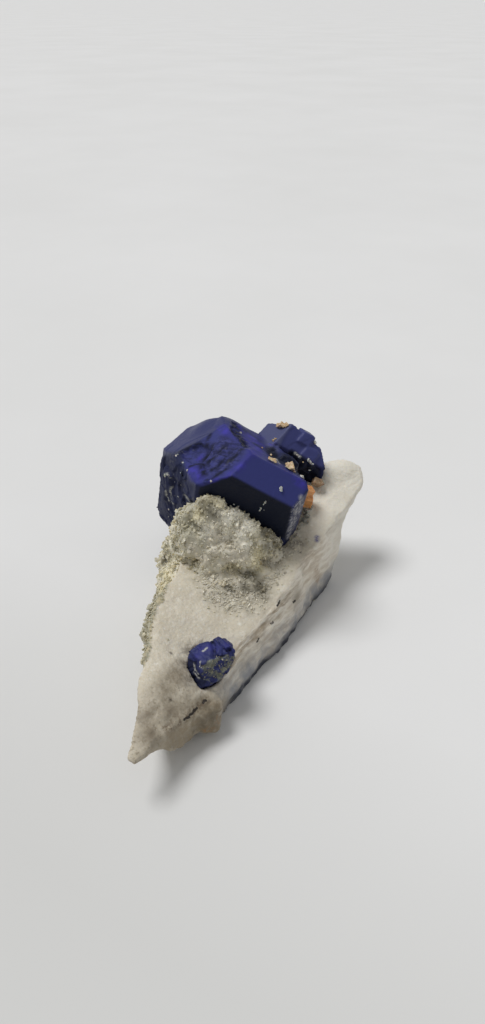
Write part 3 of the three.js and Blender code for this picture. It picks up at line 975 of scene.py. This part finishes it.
push_out(crystals, cell_texture("shards", 2.2 * MM), -1.3 * MM, PITTED)
push_out(crystals, cloud_texture("bruises", 1.6 * MM), 0.25 * MM, BRUISED)
print("etched share of the crystals' skin:", round(float(etched.mean()), 2))

# %% [markdown]
# Lazurite is so deeply coloured that it looks almost black where it turns from the light. Where its
# surface is bruised or etched, more light scatters back, and it shows its ultramarine to violet. The
# violet is painted along the worn edge between two faces and over the bruised part of the front one,
# which is mottled. The top faces are painted lighter, a painted sheen of the pale sky, and the upper
# edge of the hollow and a streak under the ridge above it are painted dark as painted shade. The long
# front face is painted nearly black, partly as painted shade because it faces down, away from the
# lamp, and the thin one at its right end is frosted.

# %% Large crystals: colour zones
VIOLET_OUTLINES = [
    [(187, 465), (204, 463), (207, 478), (222, 477), (240, 461), (250, 447), (263, 447), (262, 456),
     (252, 457), (234, 473), (216, 483), (202, 487), (190, 481)],
    [(216, 427), (228, 423), (234, 430), (241, 443), (232, 447), (224, 438)],
    [(234, 421), (240, 422), (252, 430), (263, 438), (266, 448), (250, 449), (243, 438)],
    [(286, 472), (308, 481), (305, 490), (296, 482)],
]
VIOLET_SPOTS = [(196, 471), (200, 475), (192, 470), (253, 452), (258, 450), (256, 447), (246, 440),
                (251, 437), (255, 442), (222, 428), (226, 431), (237, 425), (304, 483), (299, 480),
                (239, 466), (228, 477), (215, 483), (273, 445), (201, 459)]
NAVY_OUTLINE = [(181, 452), (229, 422), (256, 447), (266, 452), (308, 483), (303, 496), (293, 508),
                (266, 497), (232, 475), (204, 488), (190, 480)]
TOP_OUTLINE = [(164, 453), (181, 451), (229, 422), (256, 430), (270, 422), (296, 424), (278, 452),
               (262, 446), (250, 410), (190, 410), (150, 445)]
BACK_NAVY_OUTLINE = [(278, 450), (294, 424), (318, 430), (326, 460), (321, 470), (306, 458)]
BACK_TOP_OUTLINE = [(259, 432), (270, 422), (294, 423), (283, 438), (278, 451), (266, 446)]
# painted shade, partly: the long front face faces down and is painted nearly black
BLACK_OUTLINE = [(232, 476), (293, 508), (303, 497), (288, 541), (240, 516), (198, 494), (200, 487)]
# painted shade: a dark line along the upper edge of the hollow
HOLLOW_SHADE_LINE = [(180, 452), (190, 447), (201, 443.5), (212, 448), (206, 458), (202, 464), (204, 474)]
# dark marks on the front face; the first is a painted shadow under the ridge
DARK_STREAKS = [
    [(203, 447), (207, 441), (210, 435)],
    [(212, 470), (222, 462), (230, 452)],
    [(208, 462), (216, 456), (224, 447)],
    [(190, 466), (198, 464), (205, 466)],
    [(206, 481), (216, 476), (226, 469)],
    [(228, 462), (236, 456), (242, 449)],
]
THIN_FACE_STREAKS = [
    [(301, 497), (297, 508), (293, 520), (289, 534)],
    [(303, 503), (299, 512)],
    [(296, 510), (292, 522)],
]
VEINS = [
    [(171, 487), (170.5, 492), (171, 498)],
    [(165.5, 490), (167, 496), (170, 502), (173, 504)],
    [(185, 495), (189, 500), (193, 504)],
    [(164, 475), (168, 474), (171, 478)],
    [(295, 453), (300, 457)],
    [(276, 459), (280, 464)],
]


back_navy = within(crystals, BACK_NAVY_OUTLINE, 3)
black = within(crystals, BLACK_OUTLINE, 1.5) * (1 - thin_face)
# painted sheen: faces that turn up and away from the camera are painted lighter
turned_up = smooth_step(0.3, 0.6, outward_of(crystals)[:, 2]) * turned_away
dark_streaks = near_lines(crystals, DARK_STREAKS, 1.3 * MM)
hollow_shade = near_line(crystals, HOLLOW_SHADE_LINE, 2.2 * MM)
frost_streaks = near_lines(crystals, THIN_FACE_STREAKS, 1.1 * MM)
crystal_zones = {
    "violet": np.maximum.reduce([within(crystals, outline, 4) for outline in VIOLET_OUTLINES]),
    "bright": near_spots(crystals, VIOLET_SPOTS, 2.6 * MM),
    "navy": np.maximum(within(crystals, NAVY_OUTLINE, 2), back_navy),
    # painted sheen on the top faces, and lighter wear over the bruised part
    "sheen_and_wear": np.maximum.reduce([within(crystals, TOP_OUTLINE, 3), 0.6 * bruised, turned_up]),
    "black": np.maximum(black, 0.6 * pitted),
    "etched": etched,
    "dark": np.maximum.reduce([seam, pitted, 0.4 * etched, dark_streaks, hollow_shade]),
    "mottled": np.maximum(bruised, 0.7 * hollow),
    "back_face": np.maximum(within(crystals, BACK_TOP_OUTLINE, 2), 0.3 * back_navy),
    "frosted": np.maximum(0.7 * thin_face, frost_streaks),
    "vein": near_lines(crystals, VEINS, 0.6 * MM),
}
paint_all(crystals, crystal_zones)
print("crystal zones:", len(crystal_zones))

# %% Lazurite finish
LAZURITE_BLUE = (0.026, 0.033, 0.092)
GROWTH_ROUGHNESS, WORN_ROUGHER = 0.36, 0.24

lazurite, shader = new_finish("lazurite_blue", GROWTH_ROUGHNESS, 1.5)
shader.inputs["Specular IOR Level"].default_value = 0.1


def coloured(zone, *textures):
    """A painted zone of the crystals, broken up by textures."""
    return times(lazurite, painted(lazurite, zone), *textures)


def patchy(size, low, high, place=None):
    return blotches(lazurite, size * MM, low, high, place=place)


streaky = patchy(1.5, 0.35, 0.6)
slanted = patchy(1.1, 0.42, 0.58, place=squeezed(lazurite, (0.3, 0.7, 1)))
lazurite_colours = [
    ((0.016, 0.020, 0.055), patchy(6, 0.4, 0.65)),
    # painted sheen and wear: a lighter blue on the top faces and the bruised part
    ((0.041, 0.047, 0.135), coloured("sheen_and_wear")),
    ((0.042, 0.049, 0.185), coloured("navy")),
    ((0.080, 0.088, 0.185), coloured("back_face")),
    ((0.037, 0.036, 0.210), coloured("violet", patchy(4, 0.3, 0.6))),
    ((0.050, 0.054, 0.190), coloured("mottled", streaky)),
    ((0.020, 0.023, 0.080), coloured("mottled", slanted)),
    ((0.055, 0.048, 0.340), coloured("bright", streaky)),
    # dark seams and pits, plus painted shade along the hollow's edge and under the ridge
    ((0.009, 0.011, 0.030), coloured("dark", patchy(2, 0.3, 0.5))),
    ((0.022, 0.026, 0.062), coloured("etched", 0.75)),
    # the long front face nearly black: its dark colour, partly painted shade
    ((0.010, 0.013, 0.026), coloured("black")),
    ((0.40, 0.40, 0.41), coloured("frosted", patchy(0.9, 0.42, 0.6))),
]
colour = layers(lazurite, base(lazurite, LAZURITE_BLUE), lazurite_colours)
print("lazurite colours:", len(lazurite_colours))

# %% [markdown]
# White calcite fills hairline cracks of the etched side. A hairline is where smooth noise passes
# through its middle value, so the finish asks how far the noise is from that value. A second noise
# breaks the lines up, and a few veins that stand out in the photo are painted. Worn and etched skin is
# rougher than a growth face, so it reflects less of the pale sky.

# %% Lazurite: white veins and relief
wander = add_node(
    lazurite,
    "ShaderNodeTexNoise",
    {"Vector": place_of(lazurite), "Scale": 1 / (3.2 * MM), "Detail": 3.0, "Distortion": 0.6},
)
off_middle = combine(lazurite, "SUBTRACT", wander.outputs["Fac"], 0.5)
from_middle = combine(lazurite, "ABSOLUTE", off_middle, 0.0)
hairline = spread(lazurite, from_middle, 0.007, 0.002)
pale_marks = [
    ((0.35, 0.35, 0.31), coloured("etched", patchy(2.4, 0.57, 0.66), hairline)),
    ((0.50, 0.50, 0.46), coloured("vein", patchy(0.9, 0.36, 0.52))),
    ((0.10, 0.11, 0.13), coloured("dark", patchy(0.8, 0.74, 0.84))),
]
colour = layers(lazurite, colour, pale_marks)
relief = bump(lazurite, patchy(1.2, 0.35, 0.65), 0.2, 0.15 * MM)
relief = bump(lazurite, patchy(0.35, 0.35, 0.65), 0.25, 0.06 * MM, relief)
worn = combine(lazurite, "MAXIMUM", painted(lazurite, "etched"), painted(lazurite, "violet"))
rougher = combine(lazurite, "MULTIPLY", worn, WORN_ROUGHER)
roughness = combine(lazurite, "ADD", rougher, GROWTH_ROUGHNESS)
connect(lazurite, shader, Base_Color=colour, Normal=relief, Roughness=roughness)
dress(crystals, lazurite, "lazurite_group")

# %% [markdown]
# ## The small crystal
# The small crystal near the tip has a smooth violet top, cut by a notch, that drops in steps to the
# right. Grey-green matrix still clings to its lower half as a ragged skin of grains, and a few white
# veins cross its left side.

# %% Small crystal
SKIN_OUTLINE = [(200, 667), (208, 662), (216, 659), (227, 656), (235, 656), (235, 668), (223, 680),
                (213, 684), (204, 680), (203, 672)]
LOWER_LEFT_OUTLINE = [(186, 658), (194, 662), (201, 675), (206, 682), (200, 690), (186, 684)]
SMALL_VIOLET_SPOTS = [(203, 650), (210, 647), (216, 649), (228, 645), (198, 655)]
SMALL_NOTCH = [(212, 641), (215, 648), (214, 656), (222, 657), (230, 650)]
SMALL_VEINS = [[(194, 664), (195, 670), (198, 674)], [(200, 662), (200, 665)], [(203, 651), (207, 648)],
               [(194, 672), (199, 678)]]

SMALL_VOXEL = 0.16 * MM
NOTCH_RISE = -0.6 * MM

small = working_copy("lazurite_small", "small_crystal", SMALL_VOXEL)
skin = ragged(small, within(small, SKIN_OUTLINE, 4.5), 1.6 * MM)
lower_left = within(small, LOWER_LEFT_OUTLINE, 2)
SKIN = mask(small, "skin_relief", np.maximum(skin, 0.5 * lower_left))
terrace(small, 4 * MM, 2, 0.5 * MM, 1 - skin)
raise_by(small, near_line(small, SMALL_NOTCH, 1.2 * MM), NOTCH_RISE)
push_out(small, cloud_texture("small_lumps", 2.5 * MM), 0.9 * MM)
push_out(small, cell_texture("small_skin", 1.2 * MM), -0.8 * MM, SKIN)
push_out(small, cloud_texture("small_grain", 0.5 * MM), 0.25 * MM, SKIN)

everywhere = np.ones(len(small.data.vertices))
small_zones = {
    "etched": lower_left,
    # the lower left is dark; the notch is painted darker, as painted shade in its groove
    "dark": np.maximum(lower_left, near_line(small, SMALL_NOTCH, 0.9 * MM)),
    "navy": 0.35 * everywhere,
    # a little of the lighter colour of painted sheen and wear, all over
    "sheen_and_wear": 0.35 * everywhere,
    "violet": 0.5 * near_spots(small, SMALL_VIOLET_SPOTS, 3 * MM),
    "bright": 0.25 * near_spots(small, SMALL_VIOLET_SPOTS, 2 * MM),
    "skin": skin,
    "vein": near_lines(small, SMALL_VEINS, 0.45 * MM),
}
small_zones |= {zone: 0 * everywhere for zone in ("black", "mottled", "back_face", "frosted")}
paint_all(small, small_zones)
print("small crystal skin covers", round(float(skin.mean()), 2), "of it")

# %% Matrix that clings to the small crystal
SKIN_GRAIN_COUNT, SKIN_GRAIN_SIZES = 70, (0.2 * MM, 0.45 * MM)
SKIN_GRAIN_DARK = 0.85

colour = shader.inputs["Base Color"].links[0].from_socket
matrix_skin = coloured("skin", blotches(lazurite, 2.0 * MM, 0.44, 0.55, detail=8.0))
skin_colours = [
    ((0.16, 0.17, 0.15), matrix_skin),
    ((0.26, 0.27, 0.21), times(lazurite, matrix_skin, patchy(1.1, 0.5, 0.62))),
]
colour = layers(lazurite, colour, skin_colours)
connect(lazurite, shader, Base_Color=colour)
paint(crystals, "skin", np.zeros(len(crystals.data.vertices)))
dress(small, lazurite, "lazurite_small")

skin_grains = strew("skin_grains", small, skin ** 2, SKIN_GRAIN_COUNT, SKIN_GRAIN_SIZES, dice)
for zone in ("honey", "greyer", "dark", "pale", "ledge_and_shade"):
    share = SKIN_GRAIN_DARK if zone == "dark" else 0.0
    paint(skin_grains, zone, np.full(len(skin_grains.data.vertices), share))
dress(skin_grains, glassy_grains)
bpy.ops.object.shade_flat()

# %% [markdown]
# ## The stray small crystals
# An orange crystal, a few tan ones and a brown grain sit on the marble and on the large crystals.
# They are glassy blocks with worn edges, so a fine remesh and a light chipping are enough.

# %% Small minerals


def glassy_finish(name, colour, darker, lighter):
    finish, shader = new_finish(name, 0.3, 1.55)
    mixed = layer(finish, base(finish, colour), darker, blotches(finish, 1.5 * MM))
    mixed = layer(finish, mixed, lighter, blotches(finish, 0.8 * MM, 0.55, 0.7))
    relief = bump(finish, blotches(finish, 0.6 * MM), 0.4, 0.2 * MM)
    connect(finish, shader, Base_Color=mixed, Normal=relief)
    let_light_in(shader, 0.35, (1.0, 0.6, 0.3), 0.8 * MM)
    return finish


orange = glassy_finish("orange_glass", (0.84, 0.42, 0.16), (0.60, 0.25, 0.08), (0.92, 0.62, 0.36))
tan = glassy_finish("tan_glass", (0.68, 0.51, 0.30), (0.50, 0.34, 0.18), (0.80, 0.68, 0.48))
brown = glassy_finish("brown_stone", (0.42, 0.29, 0.18), (0.28, 0.18, 0.10), (0.54, 0.42, 0.28))
white = glassy_finish("white_calcite", (0.60, 0.60, 0.56), (0.42, 0.42, 0.40), (0.75, 0.75, 0.72))
BLOCK_VOXEL = 0.12 * MM
MINERALS = [
    ("orange_crystal", "orange_block", orange, "orange_mineral"),
    ("tan_cube", "tan_block", tan, "tan_mineral"),
    ("tan_fragment", "tan_chip", tan, "tan_mineral"),
    ("tan_cluster", "tan_blocks", tan, "tan_mineral"),
    ("brown_grain", "brown_block", brown, "brown_mineral"),
]
for node, name, finish, slot in MINERALS:
    block = working_copy(node, name, BLOCK_VOXEL)
    push_out(block, cloud_texture(name + "_dents", 1.3 * MM), 0.3 * MM)
    push_out(block, cloud_texture(name + "_chips", 0.5 * MM), 0.12 * MM)
    dress(block, finish, node)

# %% [markdown]
# Single white and tan grains stick to the dark faces, clear grey ones lie beside the thin face, and
# specks of calcite follow the cracks of the etched side. They use the same chips as the crust. All but
# the calcite specks have their own spot in the photo.

# %% Stray grains
WHITE_GRAINS = [
    ((281, 489.5), 1.2), ((280.5, 488), 0.9), ((301.5, 477), 1.1), ((303, 478), 0.8),
    ((310, 462), 1.3), ((312, 464), 1.1), ((309.5, 470), 0.9), ((314.5, 443), 1.1), ((308, 460), 0.8),
    ((297, 455), 0.7), ((299, 457), 0.6), ((266, 501), 0.6), ((265, 502), 0.7), ((263.5, 504), 0.6),
    ((261, 508), 0.7), ((260, 510), 0.6), ((264, 510), 0.4), ((176, 456), 0.8), ((177.5, 455), 0.6),
    ((183, 463), 0.8), ((187.5, 470.5), 0.7), ((211, 481), 0.6), ((165, 475), 0.9), ((168, 475), 0.6),
    ((240.5, 433), 0.7), ((288, 463), 0.6), ((234, 504), 0.6), ((238, 506), 0.6),
]
TAN_GRAINS = [
    ((273.5, 440.5), 1.1), ((275.5, 439), 0.9), ((262, 448), 0.5), ((271, 455), 0.8), ((275, 462), 0.9),
    ((303, 462), 0.8), ((294, 472), 0.8), ((286, 467), 0.7),
]
PALE_CHIPS = [
    ((304, 509), 2.0), ((308, 511), 2.2), ((303, 513), 1.8), ((307, 516), 2.4), ((303, 519), 1.8),
    ((306, 522), 1.6), ((301, 524), 1.4), ((311, 507), 1.5), ((299, 529), 1.3), ((296, 536), 1.2),
]


def grains_at(name, wanted, finish):
    found = [seen_at(spot, crystals, marble) for spot, _ in wanted]
    centres = [np.array(point) for point, _ in found]
    outward = [np.array(away) for _, away in found]
    piece = grain_piece(name, centres, outward, [size * MM for _, size in wanted], dice)
    dress(piece, finish)
    bpy.ops.object.shade_flat()


grains_at("white_grains", WHITE_GRAINS, white)
grains_at("tan_grains", TAN_GRAINS, tan)
clear = glassy_finish("clear_grey", (0.40, 0.39, 0.35), (0.26, 0.25, 0.21), (0.58, 0.57, 0.53))
grains_at("pale_chips", PALE_CHIPS, clear)

CALCITE_COUNT, CALCITE_SIZES = 9, (0.25 * MM, 0.55 * MM)
etched_in_view = (etched * towards_camera(crystals)) ** 2
calcite = strew("calcite_specks", crystals, etched_in_view, CALCITE_COUNT, CALCITE_SIZES, dice)
dress(calcite, white)

# %% [markdown]
# ## Floor finish
# The floor is matt pale paper that gets a little darker towards the front, as in the photo.

# %% Floor finish
FLOOR_DIMS_AT = -5 * MM
FLOOR_DIM_AT = -80 * MM

paper, shader = new_finish("pale_paper", 0.8, 1.3)
shade = layer(paper, base(paper, (0.785, 0.785, 0.785)), (0.755, 0.755, 0.752), blotches(paper, 0.2))
place = add_node(paper, "ShaderNodeSeparateXYZ", {0: place_of(paper)}).outputs["Y"]
# painted shade: the floor grows darker towards the front
shade = layer(paper, shade, (0.66, 0.66, 0.65), spread(paper, place, FLOOR_DIMS_AT, FLOOR_DIM_AT))
connect(paper, shader, Base_Color=shade)
floor.data.materials.append(paper)
print("floor is dressed")
